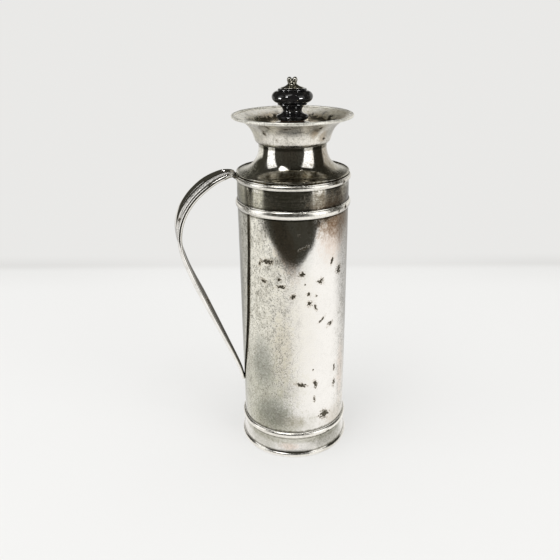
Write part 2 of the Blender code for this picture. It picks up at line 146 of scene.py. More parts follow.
# Lights, which face the jug's axis: azimuth in degrees to the right of the camera, elevation, (width, height) in
# metres, radiance and outline
LIGHT_DISTANCE = 1.5
LIGHT_AIM = 0.2  # height on the axis
WINDOWS = (
    ("left_window", -74, 15, (0.76, 1.85), 1.35, "RECTANGLE"),
    ("right_window", 54, 17, (0.9, 2.0), 1.5, "RECTANGLE"),
    ("left_lamp", -40, 66, (0.5, 1.15), 3.6, "ELLIPSE"),
    ("right_lamp", 38, 66, (0.12, 0.12), 14.0, "ELLIPSE"),
)
STRAP_LAMP = ("back_lamp", -150, 56, (0.06, 0.06), 25.0, "ELLIPSE")
CARD_DISTANCE = 0.8
CARD_AIM = 0.28
KNOB_CARDS = (
    ("left_card", -72, -4, (0.2, 0.16), 110.0, "RECTANGLE"),
    ("right_card", 48, -2, (0.24, 0.12), 110.0, "RECTANGLE"),
    ("front_card", -34, 34, (0.16, 0.1), 110.0, "RECTANGLE"),
)

# Looks of the CAD nodes that stay
CAD_LOOKS = {
    "case_thread_ring": "brass", "glass_outer": "cap", "glass_inner": "cap", "vacuum_pad_1": "felt",
    "vacuum_pad_2": "felt", "vacuum_pad_3": "felt", "liner_cushion": "rubber", "neck_gasket": "rubber",
    "spring_plate": "steel", "support_spring": "steel", "stopper_rod": "steel", "stopper_washer": "steel",
    "rod_nut": "steel",
}


# Shapes ----------------------------------------------------------------------------------------------------------


def arc(centre, radii, start, end, count):
    """Points on an elliptical arc in the (radius, height) plane, angles in degrees, both ends included."""
    points = []
    for index in range(count + 1):
        angle = math.radians(start + (end - start) * index / count)
        points.append((centre[0] + radii[0] * math.cos(angle), centre[1] + radii[1] * math.sin(angle)))
    return points


def spline(points, per_span):
    """Catmull-Rom curve through the points."""
    vectors = [Vector(point) for point in points]
    ends = [2 * vectors[0] - vectors[1], *vectors, 2 * vectors[-1] - vectors[-2]]
    line = []
    for index in range(1, len(ends) - 2):
        a, b, c, d = ends[index - 1 : index + 3]
        for step in range(per_span):
            t = step / per_span
            line.append(
                0.5 * (2 * b + (c - a) * t + (2 * a - 5 * b + 4 * c - d) * t**2 + (3 * b - a - 3 * c + d) * t**3)
            )
    line.append(vectors[-1])
    return [tuple(point) for point in line]


def split_long(profile, longest):
    """The profile with points added so that no span is longer than this."""
    line = [profile[0]]
    for a, b in zip(profile, profile[1:]):
        count = max(1, math.ceil(math.dist(a, b) / longest))
        line += [(a[0] + (b[0] - a[0]) * i / count, a[1] + (b[1] - a[1]) * i / count) for i in range(1, count + 1)]
    return line


def offset(line, distance):
    """The line moved to its right side, which is inwards for a line that runs down the outer side."""
    moved = []
    for index, point in enumerate(line):
        before = Vector(line[max(index - 1, 0)])
        after = Vector(line[min(index + 1, len(line) - 1)])
        here = Vector(point)
        steps = [(b - a).normalized() for a, b in ((before, here), (here, after)) if (b - a).length > 0]
        normals = [Vector((-step.y, step.x)) for step in steps]
        normal = sum(normals, Vector((0.0, 0.0))).normalized()
        moved.append(tuple(here - normal * distance / max(normal.dot(normals[0]), 0.5)))
    return moved


def sheet(line):
    """Closed section of sheet metal whose outer side is the line."""
    return [*line, *offset(line, WALL)[::-1]]


def new_object(name, mesh, look, sharp=32.0):
    obj = bpy.data.objects.new(name, mesh)
    bpy.context.scene.collection.objects.link(obj)
    mesh.materials.append(look)
    mesh.shade_smooth()
    mesh.set_sharp_from_angle(angle=math.radians(sharp))
    return obj


def turned(name, profile, look, steps=AROUND, closed=True, waviness=0.0, grain=30.0, sharp=32.0, inside=None):
    """A (radius, height) profile in mm, running down the outer side, turned about Z.

    waviness moves each point in or out by up to that many mm, over waves grain mm long, so that reflections wander
    as on worked sheet. inside is (first span of the profile's inner side, the look of that side).
    """
    shape = bmesh.new()
    rings = []
    for radius, height in profile:
        if radius < 1e-6:
            rings.append([shape.verts.new((0.0, 0.0, height * MM))] * steps)
            continue
        ring = []
        for step in range(steps):
            angle = 2 * math.pi * step / steps
            across = Vector((math.cos(angle), math.sin(angle), 0.0))
            place = across * radius + Vector((0.0, 0.0, height))
            bulge = waviness * noise.noise(place / grain) if waviness else 0.0
            place += across * bulge
            ring.append(shape.verts.new(place * MM))
        rings.append(ring)
    pairs = list(zip(rings, rings[1:]))
    if closed:
        pairs.append((rings[-1], rings[0]))
    for span, (upper, lower) in enumerate(pairs):
        for step in range(steps):
            after = (step + 1) % steps
            corners = []
            for vertex in (upper[step], lower[step], lower[after], upper[after]):
                if vertex not in corners:
                    corners.append(vertex)
            if len(corners) > 2:
                shape.faces.new(corners).material_index = 1 if inside and span >= inside[0] else 0
    mesh = bpy.data.meshes.new(name)
    shape.to_mesh(mesh)
    shape.free()
    obj = new_object(name, mesh, look, sharp)
    if inside:
        mesh.materials.append(inside[1])
    return obj


def stand_for(piece, body, slot, *nodes):
    """The piece rides on the body and is shown in place of the CAD nodes."""
    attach(piece, body)
    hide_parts(*nodes)
    return piece


def half_round(z, height, proud):
    """Closed section of a half-round moulding with a small step at both edges."""
    half = height / 2
    step = 0.35
    chamfer = 0.05
    low_r = BODY_R + step
    crown = arc((low_r, z), (proud - step, half - 0.5), 86, -86, 18)
    return [(BEAD_INNER_R, z + half), (low_r - chamfer, z + half), (low_r, z + half - chamfer), *crown,
            (low_r, z - half + chamfer), (low_r - chamfer, z - half), (BEAD_INNER_R, z - half)]


def make_case(looks):
    """The tube, its three beads and the foot band with its rolled lip."""
    chamfer = 0.1
    inner_r = BODY_R - WALL
    tube = [(BODY_R - chamfer, CASE_TOP), (BODY_R, CASE_TOP - chamfer), (BODY_R, CASE_BOTTOM + chamfer),
            (BODY_R - chamfer, CASE_BOTTOM)]
    section = [*split_long(tube, 3.0), (inner_r, CASE_BOTTOM), (inner_r, CASE_TOP)]
    stand_for(turned("case_tube", section, looks["body"], waviness=0.10, grain=16.0), "case", "silver_plate",
              "body_tube")
    for node, z, height, proud in BEADS:
        wire = turned(node + "_wire", half_round(z, height, proud), looks["bead"], waviness=0.08, grain=9.0)
        stand_for(wire, "case", "silver_plate", node)
    foot_top = 19.8
    floor = 1.0
    band = spline([(BODY_R, foot_top), (41.8, 14.0), (42.1, 8.5), (43.2, 4.6), (43.75, 3.5)], 6)
    lip = arc((43.7, 1.7), (1.05, 1.6), 75, -75, 14)
    inside = [(43.7, 0.0), (41.0, 0.0), (0.0, 0.0), (0.0, floor), (inner_r, floor), (inner_r, foot_top)]
    stand_for(turned("foot_band", [*band, *lip, *inside], looks["foot"], waviness=0.06, grain=14.0), "case",
              "silver_plate", "foot_cup")


def make_shoulder(looks):
    """The concave shoulder with its screw skirt, the funnel collar and its rolled rim."""
    centre = (42.5, 248.0)
    radii = (17.3, 18.1)
    outer = [(25.1, 250.6), (25.2, 250.5), *arc(centre, radii, 180, 264, 36)]
    edge = arc((41.4, 229.8), (0.8, 0.8), 70, -90, 12)
    skirt = [(40.6, 229.0), (40.6, 228.5), (38.9, 228.5), (38.9, 215.5), (38.8, 215.4), (37.9, 215.4)]
    inner = [*arc(centre, (18.2, 19.0), 255, 180, 20), (24.3, 250.6)]
    piece = turned("shoulder_sheet", [*outer, *edge, *skirt, *inner], looks["neck"], waviness=0.05, grain=18.0)
    stand_for(piece, "shoulder", "silver_plate", "shoulder_neck")

    funnel = spline([(41.7, 268.8), (38.3, 267.3), (35.2, 265.5), (32.4, 263.0), (30.4, 260.2), (29.0, 257.2),
                     (28.2, 254.6)], 5)
    edge = [(28.05, 253.8), (27.75, 252.9), (27.2, 252.1), (26.4, 251.35), (25.4, COLLAR_BOTTOM)]
    line = [*funnel, *edge, (18.9, COLLAR_BOTTOM)]
    piece = turned("funnel_collar", sheet(line), looks["collar"], waviness=0.10, grain=12.0,
                   inside=(len(line) - 1, looks["funnel"]))
    stand_for(piece, "shoulder", "silver_plate", "pouring_collar")

    rim = arc(RIM_CENTRE, (RIM_RADIUS, RIM_RADIUS), 90, -255, 23)
    stand_for(turned("rolled_rim", rim, looks["rim"], waviness=0.10, grain=8.0), "shoulder", "silver_plate",
              "rim_wire")


def make_stopper(looks):
    """Dome cap, turned knob, leather washer, cork and finial. The rod and its washer and nut are CAD nodes."""
    dome = spline([(9.0, 265.6), (12.6, 264.8), (16.0, 262.6), (18.6, 259.4), (20.1, 255.8), (20.6, 252.1)], 5)
    cap = turned("dome_cap", sheet([(ROD_HOLE_R, 265.6), *dome]), looks["cap"], AROUND_SMALL)
    stand_for(cap, "stopper", "silver_plate", "stopper_cap")

    top_ring = arc((9.6, 287.6), (0.8, 0.8), 90, -70, 10)
    bulb = arc((9.9, 282.8), (4.95, 4.15), 74, -74, 28)
    thin_ring = arc((9.9, 277.8), (0.8, 0.7), 80, -80, 10)
    cove = spline([(9.4, 276.8), (8.4, 276.0), (7.4, 274.9), (6.9, 273.4), (7.2, 272.2), (8.3, 271.1),
                   (10.0, 270.4)], 4)
    flange = arc((10.4, 268.7), (1.3, 1.5), 80, -70, 12)
    outer = [(ROD_HOLE_R, 288.3), (4.0, 288.4), *top_ring, *bulb, *thin_ring, *cove, *flange, (10.6, 267.0),
             (ROD_HOLE_R, 267.0)]
    stand_for(turned("turned_knob", outer, looks["knob"], AROUND_SMALL), "stopper", "black_knob", "knob")

    washer = [(ROD_HOLE_R, 266.7), (8.7, 266.7), (9.0, 266.5), (9.0, 266.1), (8.7, 265.9), (ROD_HOLE_R, 265.9)]
    stand_for(turned("leather_washer", washer, looks["leather"], AROUND_SMALL), "stopper", "washer_leather",
              "knob_washer")

    taper = [(ROD_HOLE_R, 262.6), (11.8, 262.6), (12.1, 262.5), (17.3, 256.6), (17.4, 256.2), (17.4, 250.0),
             (16.5, 224.5), (16.2, 224.0), (ROD_HOLE_R, 224.0)]
    cork = turned("tapered_cork", split_long(taper, 1.2), looks["cork"], AROUND_SMALL, waviness=0.12, grain=1.6)
    stand_for(cork, "stopper", "stopper_cork", "stopper_cork")
    make_finial(looks)


def make_finial(looks):
    """Flared nut whose stem ends in a cluster of small balls, all melted into one surface."""
    stem = spline([(0.0, 295.2), (1.6, 294.8), (2.9, 293.3), (3.5, 292.4), (3.2, 291.7), (3.9, 290.9), (5.6, 289.9),
                   (8.0, 289.2)], 4)
    section = [*stem, (8.3, 289.0), (8.3, 288.7), (ROD_HOLE_R, 288.7), (ROD_HOLE_R, 293.3), (0.0, 293.3)]
    nut = turned("flared_nut", section, looks["finial"], AROUND_NUT, closed=False)
    for index in range(BALLS):
        angle = -HANDLE_TURN - math.radians(45 + 360 / BALLS * index)
        place = Vector((BALL_RING_R * math.cos(angle), BALL_RING_R * math.sin(angle), BALL_HEIGHT)) * MM
        mesh = bpy.data.meshes.new(f"ball_{index + 1}")
        shape = bmesh.new()
        bmesh.ops.create_uvsphere(shape, u_segments=28, v_segments=16, radius=BALL_R * MM)
        bmesh.ops.translate(shape, verts=shape.verts, vec=place)
        shape.to_mesh(mesh)
        shape.free()
        ball = bpy.data.objects.new(mesh.name, mesh)
        bpy.context.scene.collection.objects.link(ball)
        mesh.shade_smooth()
        join = nut.modifiers.new(mesh.name, "BOOLEAN")
        join.operation = "UNION"
        join.solver = "EXACT"
        join.object = ball
        bpy.context.view_layer.objects.active = nut
        bpy.ops.object.modifier_apply(modifier=join.name)
        bpy.data.objects.remove(ball, do_unlink=True)
    smooth = nut.modifiers.new("smooth", "REMESH")
    smooth.mode = "VOXEL"
    smooth.voxel_size = FINIAL_VOXEL * MM
    smooth.use_smooth_shade = True
    bpy.ops.object.modifier_apply(modifier=smooth.name)
    stand_for(nut, "stopper", "silver_plate", "finial_nut")


def ease(stations, values, at):
    """Smooth value between stations, with level ends at each of them."""
    for index in range(len(stations) - 1):
        if at <= stations[index + 1]:
            t = (at - stations[index]) / (stations[index + 1] - stations[index])
            t = t * t * (3 - 2 * t)
            return values[index] + (values[index + 1] - values[index]) * t
    return values[-1]


def reed_height(across):
    """Half the strap's thickness at this place, as a share: a round near reed and two broad, gently crowned ones."""
    low, high = REED_EDGES
    if across < low:
        middle = (low - 1) / 2
        t = (across - middle) / (low - middle)
        round_part = math.sqrt(max(1 - t * t, 0.0))
        return round_part if t < 0 else GROOVE_DEPTH + (1 - GROOVE_DEPTH) * round_part
    if across < high:
        t = (across - low) / (high - low)
        return GROOVE_DEPTH + REED_CROWN * math.sin(math.pi * t) ** 0.8
    t = (across - high) / (1 - high)
    crowned = GROOVE_DEPTH + REED_CROWN * math.sin(math.pi * min(t, 0.999)) ** 0.8
    return crowned * math.sqrt(max(1 - t**8, 0.0))


def reeded_section(half_width, half_thick):
    """(across, out, recess, scuff) round a strap with reeds on both faces.

    grime_and_shade is 1 in a groove, where it is dirt, and less on the inner face, where it is painted shade, and
    scuff is 1 on the outer face's middle reed.
    """
    near_groove, far_groove = REED_EDGES
    points = []
    for index in range(HANDLE_POINTS):
        angle = 2 * math.pi * (index + 0.5) / HANDLE_POINTS
        across = math.cos(angle)
        side = 1.0 if math.sin(angle) >= 0 else -1.0
        groove = max(0.0, 1 - min(abs(across - edge) for edge in REED_EDGES) / GROOVE_WIDTH)
        # Painted shade over the inner face, for the dark case that it faces and reflects
        inner = INNER_FACE_SHADE if side < 0 and across > near_groove - 0.1 else 0.0
        scuff = 1.0 if side > 0 and near_groove + 0.08 < across < far_groove - 0.06 else 0.0
        points.append((half_width * across, side * half_thick * reed_height(across), max(groove, inner), scuff))
    return points


def make_handle(looks):
    """The strap, as rings of its section along the route. Radius becomes -X, the side that it stands on."""
    line = [Vector(point) for point in spline(HANDLE_ROUTE, 24)]
    lengths = [0.0]
    for a, b in zip(line, line[1:]):
        lengths.append(lengths[-1] + (b - a).length)
    shape = bmesh.new()
    rings = []
    grime_and_shade_values = []
    scuffs = []
    for station in range(HANDLE_STATIONS + 1):
        share = station / HANDLE_STATIONS
        wanted = lengths[-1] * share
        index = min(max(i for i, length in enumerate(lengths) if length <= wanted + 1e-9), len(line) - 2)
        t = (wanted - lengths[index]) / (lengths[index + 1] - lengths[index])
        point = line[index].lerp(line[index + 1], t)
        along = (line[min(index + 3, len(line) - 1)] - line[max(index - 2, 0)]).normalized()
        out = Vector((-along.y, along.x))
        twist = math.radians(ease(*HANDLE_TWIST, share))
        ring = []
        section = reeded_section(ease(*HANDLE_WIDTH, share) / 2, ease(*HANDLE_THICK, share) / 2)
        for across, proud, grime_and_shade, scuff in section:
            # Dirt in the grooves, painted shade on the inner face, and the dark solder at the upper end
            grime_and_shade_values.append(max(grime_and_shade, 1 - share / SOLDERED_SHARE))
            scuffs.append(scuff)
            outward = proud * math.cos(twist) + across * math.sin(twist)
            sideways = across * math.cos(twist) - proud * math.sin(twist)
            radius = point.x + out.x * outward
            height = point.y + out.y * outward
            ring.append(shape.verts.new(Vector((-radius, sideways, height)) * MM))
        rings.append(ring)
    for upper, lower in zip(rings, rings[1:]):
        for index in range(HANDLE_POINTS):
            after = (index + 1) % HANDLE_POINTS
            shape.faces.new((upper[index], upper[after], lower[after], lower[index]))
    shape.faces.new(rings[0][::-1])
    shape.faces.new(rings[-1])
    bmesh.ops.recalc_face_normals(shape, faces=shape.faces)
    mesh = bpy.data.meshes.new("reeded_strap")
    shape.to_mesh(mesh)
    shape.free()
    mesh.attributes.new("grime_and_shade", "FLOAT", "POINT").data.foreach_set("value", grime_and_shade_values)
    mesh.attributes.new("scuff", "FLOAT", "POINT").data.foreach_set("value", scuffs)
    strap = new_object("reeded_strap", mesh, looks["handle"], sharp=50.0)
    stand_for(strap, "case", "silver_plate", "handle_strap")


# Materials -------------------------------------------------------------------------------------------------------


class Nodes:
    """A node tree with short calls for the nodes that these materials are made of."""

    def __init__(self, tree):
        self.tree = tree

    def add(self, kind, settings=None, **inputs):
        made = self.tree.nodes.new(kind)
        for key, value in (settings or {}).items():
            setattr(made, key, value)
        for key, value in inputs.items():
            socket = made.inputs[int(key[1:])] if key[0] == "i" and key[1:].isdigit() else made.inputs[key]
            self.put(socket, value)
        return made

    def put(self, socket, value):
        if isinstance(value, bpy.types.NodeSocket):
            self.tree.links.new(value, socket)
        elif isinstance(value, (tuple, list)) and socket.type == "RGBA" and len(value) == 3:
            socket.default_value = (*value, 1.0)
        else:
            socket.default_value = value

    def math(self, operation, a, b=0.0, c=None):
        extra = {} if c is None else {"i2": c}
        return self.add("ShaderNodeMath", {"operation": operation}, i0=a, i1=b, **extra).outputs[0]

    def step(self, value, low, high, out_low=0.0, out_high=1.0):
        """Smooth step from out_low to out_high as value goes from low to high."""
        made = self.add("ShaderNodeMapRange", {"interpolation_type": "SMOOTHSTEP"}, i0=value, i1=low, i2=high,
                        i3=out_low, i4=out_high)
        return made.outputs[0]

    def noise(self, vector, size, detail=2.0, rough=0.5, stretch=(1.0, 1.0, 1.0), warp=0.0):
        """Noise whose features are about size mm across, drawn out by stretch along each axis."""
        scale = tuple(1.0 / (size * part) for part in stretch)
        moved = self.add("ShaderNodeVectorMath", {"operation": "MULTIPLY"}, i0=vector, i1=scale).outputs[0]
        made = self.add("ShaderNodeTexNoise", None, Vector=moved, Scale=1.0, Detail=detail, Roughness=rough,
                        Distortion=warp)
        return made.outputs[0]

    def mix(self, factor, a, b, blend="MIX"):
        made = self.add("ShaderNodeMix", {"data_type": "RGBA", "blend_type": blend})
        self.put(made.inputs[0], factor)
        self.put(made.inputs[6], a)
        self.put(made.inputs[7], b)
        return made.outputs[2]


def new_material(name):
    """A material with one Principled shader: (material, nodes, shader, place on the object in mm)."""
    made = bpy.data.materials.new(name)
    made.use_nodes = True
    tree = made.node_tree
    tree.nodes.clear()
    nodes = Nodes(tree)
    shader = nodes.add("ShaderNodeBsdfPrincipled")
    out = nodes.add("ShaderNodeOutputMaterial")
    tree.links.new(shader.outputs[0], out.inputs[0])
    place = nodes.add("ShaderNodeTexCoord").outputs["Object"]
    mm = nodes.add("ShaderNodeVectorMath", {"operation": "SCALE"}, i0=place, Scale=1 / MM).outputs[0]
    return made, nodes, shader, mm


def spots(n, place, radius, rows):
    """How far a place on a wall of this radius is from the nearest row's ellipse, 1 being its edge.

    Each row is front_deg, height, width, tall and tilt, the lengths in mm and the tilt in degrees.
    """
    nearest = 9.0
    for front_deg, height, width, tall, tilt in rows:
        centre = (math.radians(front_deg) * radius, height, 0.0)
        moved = n.add("ShaderNodeMapping", {"vector_type": "TEXTURE"}, Vector=place, Location=centre,
                      Rotation=(0.0, 0.0, math.radians(tilt)), Scale=(width / 2, tall / 2, 1.0)).outputs[0]
        away = n.add("ShaderNodeVectorMath", {"operation": "LENGTH"}, i0=moved).outputs["Value"]
        nearest = n.math("MINIMUM", away, nearest)
    return nearest


def silver(name, radius, rough=0.12, tarnish=0.35, speckle=0.5, clean_highlight=None, brushed=(60.0, 0.2),
           films=(), worn=(), tone=BRIGHT_SILVER, hatched=None, has_grime_and_shade=False):
    """Old silver plate: tarnish clouds, fine speckle, brush marks, coloured films, some of them painted shade and
    painted reflections, and worn-through spots.

    radius is that of the wall, in mm. tarnish and speckle are strengths from 0 to 1.
    clean_highlight is (front_deg, half width kept clean, half width where the tarnish is back in full, least tarnish):
    a strip kept clear of tarnish, whose brighter silver is partly a painted highlight where the window shines.
    brushed is (how far its lines are drawn out upwards, or 0 for lines round the wall, strength).
    films are rows of a spot, a colour that multiplies the silver's, a strength and, if any, an added roughness.
    worn are rows of spots where the plate has gone. hatched is (middle height, height, strength) of a hatched band.
    has_grime_and_shade is for a mesh with the attributes grime_and_shade, which holds dirt in the grooves and painted
    shade on the inner face, and scuff, which is matte.
    """
    made, n, shader, mm = new_material(name)
    xyz = n.add("ShaderNodeSeparateXYZ", None, i0=mm).outputs
    turn = n.math("ADD", n.math("ARCTAN2", xyz[0], n.math("MULTIPLY", xyz[1], -1.0)), HANDLE_TURN)
    place = n.add("ShaderNodeCombineXYZ", None, i0=n.math("MULTIPLY", turn, radius), i1=xyz[2]).outputs[0]
    clouds = n.noise(mm, 15.0, 3.0, 0.55)
    mottle = n.noise(mm, 3.6, 5.0, 0.7, stretch=(1.0, 1.0, 1.5), warp=0.3)
    speck = n.noise(mm, 0.95, 3.0, 0.8)
    ragged = n.noise(mm, 1.5, 3.0, 0.6)
    streak = n.noise(mm, 1.0, 3.0, 0.6, stretch=(0.9, 0.9, brushed[0]) if brushed[0] > 1 else (40.0, 40.0, 0.35))

    cover = 1.0
    # A strip kept clear of tarnish, partly a painted highlight where the window shines
    if clean_highlight:
        centre, inner, outer, least = clean_highlight
        away = n.math("ABSOLUTE", n.math("SUBTRACT", turn, math.radians(centre)))
        cover = n.step(away, math.radians(inner), math.radians(outer), least, 1.0)

    amount = n.math("ADD", n.math("MULTIPLY", clouds, 0.5), n.math("MULTIPLY", mottle, 0.5))
    amount = n.math("MULTIPLY", n.step(amount, 0.44, 0.64), n.math("MULTIPLY", cover, tarnish))
    base = n.mix(amount, tone, TARNISH)
    blotch = n.step(n.noise(mm, 2.2, 4.0, 0.65, stretch=(1.0, 1.0, 1.3)), 0.48, 0.62)
    base = n.mix(n.math("MULTIPLY", blotch, n.math("MULTIPLY", cover, tarnish * 0.6)), base, HAZE)
    lines = n.math("MULTIPLY", n.step(streak, 0.42, 0.7), n.math("MULTIPLY", cover, brushed[1]))
    base = n.mix(lines, base, BRUSH_LINE)
    if hatched:
        middle, tall, strength = hatched
        hatch = n.noise(mm, 1.0, 4.0, 0.7, stretch=(9.0, 9.0, 0.45))
        within = n.step(n.math("ABSOLUTE", n.math("SUBTRACT", xyz[2], middle)), tall / 2, tall / 2 - 1.0)
        hatch = n.math("MULTIPLY", n.math("MULTIPLY", n.step(hatch, 0.42, 0.62), within), strength)
        base = n.mix(hatch, base, HATCH_LINE)

    film_rough = 0.0
    if has_grime_and_shade:
        # Dirt in the strap's grooves and painted shade on its inner face
        grime_and_shade = n.add("ShaderNodeAttribute", {"attribute_name": "grime_and_shade"}).outputs["Fac"]
        grime_and_shade_mask = n.step(n.math("ADD", grime_and_shade, n.math("MULTIPLY", mottle, 0.5)), 0.45, 1.0)
        base = n.mix(grime_and_shade_mask, base, STRAP_GRIME_AND_SHADE)
        scuff = n.add("ShaderNodeAttribute", {"attribute_name": "scuff"}).outputs["Fac"]
        film_rough = n.math("MULTIPLY", n.math("MULTIPLY", scuff, n.step(streak, 0.35, 0.65, 0.6, 1.0)), 0.24)
    fleck = n.step(n.math("ADD", ragged, n.math("MULTIPLY", speck, 0.5)), 0.55, 0.9, 1.0, 0.65)
    for *spot, colour, strength, roughness in (row if len(row) == 8 else (*row, None) for row in films):
        away = n.math("ADD", spots(n, place, radius, [spot]), n.math("MULTIPLY", mottle, 1.7))
        here = n.math("MULTIPLY", n.step(away, 2.1, 1.2), n.math("MULTIPLY", fleck, strength))
        base = n.mix(here, base, colour, "MULTIPLY")
        if roughness is not None:
            film_rough = n.math("ADD", n.math("MULTIPLY", here, roughness), film_rough)

    dots = n.math("ADD", speck, n.math("MULTIPLY", mottle, 0.5))
    dots = n.math("MULTIPLY", n.step(dots, 0.75, 0.86), n.math("MULTIPLY", cover, speckle))
    base = n.mix(dots, base, SPECK)
    shine = n.math("ADD", n.math("MULTIPLY", amount, 0.06), n.math("ADD", film_rough, rough))
    shine = n.math("ADD", shine, n.math("MULTIPLY", dots, 0.05))
    height = n.math("ADD", speck, n.math("MULTIPLY", lines, 0.5))
    if worn:
        away = n.math("ADD", spots(n, place, radius, worn), n.math("MULTIPLY", ragged, 2.6))
        bare = n.step(away, 1.9, 1.74)
        ring = n.step(away, 2.3, 1.9)
        base = n.mix(n.math("MULTIPLY", ring, 0.35), base, WORN_EDGE)
        base = n.mix(bare, base, n.mix(speck, WORN_DARK, WORN_PALE))
        shine = n.math("ADD", shine, n.math("MULTIPLY", bare, 0.45))
        height = n.math("SUBTRACT", height, n.math("MULTIPLY", bare, 2.0))

    n.put(shader.inputs["Base Color"], base)
    n.put(shader.inputs["Metallic"], n.step(film_rough, 0.11, 0.30, 1.0, 0.35) if films or has_grime_and_shade else 1.0)
    n.put(shader.inputs["Roughness"], shine)
    bump = n.add("ShaderNodeBump", None, Strength=0.3, Distance=0.00003, Height=height)
    n.put(shader.inputs["Normal"], bump.outputs[0])
    return made


def lacquer(name):
    """Black lacquer with faint wear."""
    made, n, shader, mm = new_material(name)
    wear = n.step(n.noise(mm, 2.5, 4.0, 0.6), 0.5, 0.75)
    n.put(shader.inputs["Base Color"], n.mix(wear, (0.003, 0.003, 0.003), (0.010, 0.009, 0.008)))
    n.put(shader.inputs["Roughness"], n.math("ADD", n.math("MULTIPLY", wear, 0.04), 0.04))
    shader.inputs["Specular IOR Level"].default_value = 0.3
    return made


def plain(name, light, dark, rough, size, metallic=0.0):
    """A grained material between two tones, whose grain is about size mm across."""
    made, n, shader, mm = new_material(name)
    grain = n.step(n.noise(mm, size, 5.0, 0.65), 0.35, 0.65)
    n.put(shader.inputs["Base Color"], n.mix(grain, light, dark))
    n.put(shader.inputs["Roughness"], n.math("ADD", n.math("MULTIPLY", grain, 0.15), rough))
    shader.inputs["Metallic"].default_value = metallic
    bump = n.add("ShaderNodeBump", None, Strength=0.4, Distance=0.0002, Height=grain)
    n.put(shader.inputs["Normal"], bump.outputs[0])
    return made


# Spots are rows of front_deg, height, width, tall and tilt. Films add a colour, a strength and, on some, a roughness
BODY_FILMS = [
    # The main tones: olive on the left, brown at the top right, grey patches at the lower left
    (-60, 115, 90, 400, 0, OLIVE_FILM, 0.9),
    (150, 115, 120, 400, 0, OLIVE_FILM, 0.7),
    (-8, 185, 16, 60, 15, RED_FILM, 0.6, 0.0),
    (10, 172, 16, 40, -10, BLUE_FILM, 0.4),
    (44, 188, 30, 42, 0, PINK_FILM, 0.8),
    (50, 204, 60, 34, 0, BROWN_FILM, 0.95),
    (84, 130, 20, 260, 0, (0.72, 0.68, 0.63), 0.9),
    (-36, 84, 22, 48, 0, (0.42, 0.44, 0.45), 0.8),
    (-24, 40, 34, 32, 0, (0.40, 0.42, 0.42), 0.85),
    (-74, 120, 12, 260, 0, GREY_FILM, 0.8),
    (-12, 96, 18, 70, 0, (0.80, 0.76, 0.68), 0.6),
    (64, 70, 14, 60, 0, PINK_FILM, 0.7),
    (0, 34, 20, 14, 0, BROWN_FILM, 0.3),
    (-44, 52, 70, 96, 0, (0.70, 0.71, 0.67), 1.0),
    (-14, 30, 60, 30, 0, (0.62, 0.62, 0.56), 1.0),
    (60, 28, 40, 30, 0, (0.7, 0.66, 0.6), 0.9),
    (54, 200, 42, 38, 0, (0.42, 0.34, 0.27), 1.0),
    (80, 190, 18, 80, 0, (0.5, 0.45, 0.4), 0.9),
    (0, 120, 40, 160, 0, (0.93, 0.92, 0.89), 1.0),
    # The plain band above the waist bead
    (0, 216.5, ALL_ROUND, 17, 0, (0.56, 0.55, 0.48), 0.95, 0.14),
    (40, 216, 52, 20, 0, (0.40, 0.35, 0.29), 1.0, 0.08),
    (80, 216, 34, 20, 0, (0.22, 0.20, 0.16), 0.95),
    (-70, 216, 26, 20, 0, (0.5, 0.5, 0.42), 0.9),
    # Grime and painted shade along the beads
    (0, 224.2, ALL_ROUND, 2.4, 0, GRIME_AND_SHADE, 0.9),
    (0, 210.2, ALL_ROUND, 2.2, 0, GRIME_AND_SHADE, 0.85),
    (0, 203.2, ALL_ROUND, 2.2, 0, GRIME_AND_SHADE, 0.9),
    (0, 23.4, ALL_ROUND, 2.6, 0, GRIME_AND_SHADE, 0.85),
    # The back, which the photo doesn't show
    (105, 150, 40, 70, 10, GREY_FILM, 0.6),
    (150, 70, 50, 60, 0, GREY_FILM, 0.7),
    (-140, 120, 34, 90, 0, BROWN_FILM, 0.3),
    (-105, 60, 30, 50, 0, GREY_FILM, 0.6),
    (172, 170, 36, 40, 0, PINK_FILM, 0.7),
]
BODY_WORN = [
    (-36, 168, 4, 6, 0), (-27, 171, 15, 6, 0), (-32, 155, 7, 5, 0), (-14, 158, 4, 4, 0), (-12, 152, 12, 4, 0),
    (0, 145, 7, 5, 40), (9, 162, 7, 6, 0), (12, 154, 2, 2, 0), (16, 146, 5, 5, 0), (24, 144, 3, 3, 0),
    (17, 138, 7, 7, 0), (23, 135, 3, 12, 20), (31, 123, 10, 3, 40), (42, 117, 9, 6, 20), (29, 155, 8, 7, -30),
    (43, 169, 4, 11, -18), (54, 160, 10, 10, 60), (6, 192, 3, 3, 0), (10, 182, 16, 4, 25), (21, 80, 2, 3, 0),
    (50, 76, 4, 9, 0), (50, 62, 5, 10, -15), (24, 67, 5, 12, 10), (8, 68, 14, 5, -15), (23, 53, 3, 8, 0),
    (36, 36, 14, 12, -30),
    # The back, which the photo doesn't show
    (96, 130, 10, 6, 20), (112, 96, 5, 12, 0), (128, 168, 8, 8, 0), (150, 120, 14, 6, 0), (165, 52, 12, 8, 0),
    (-98, 150, 8, 6, 0), (-118, 88, 6, 10, 0), (-140, 176, 12, 6, 0), (-155, 66, 8, 8, 0), (-168, 130, 6, 9, 0),
]
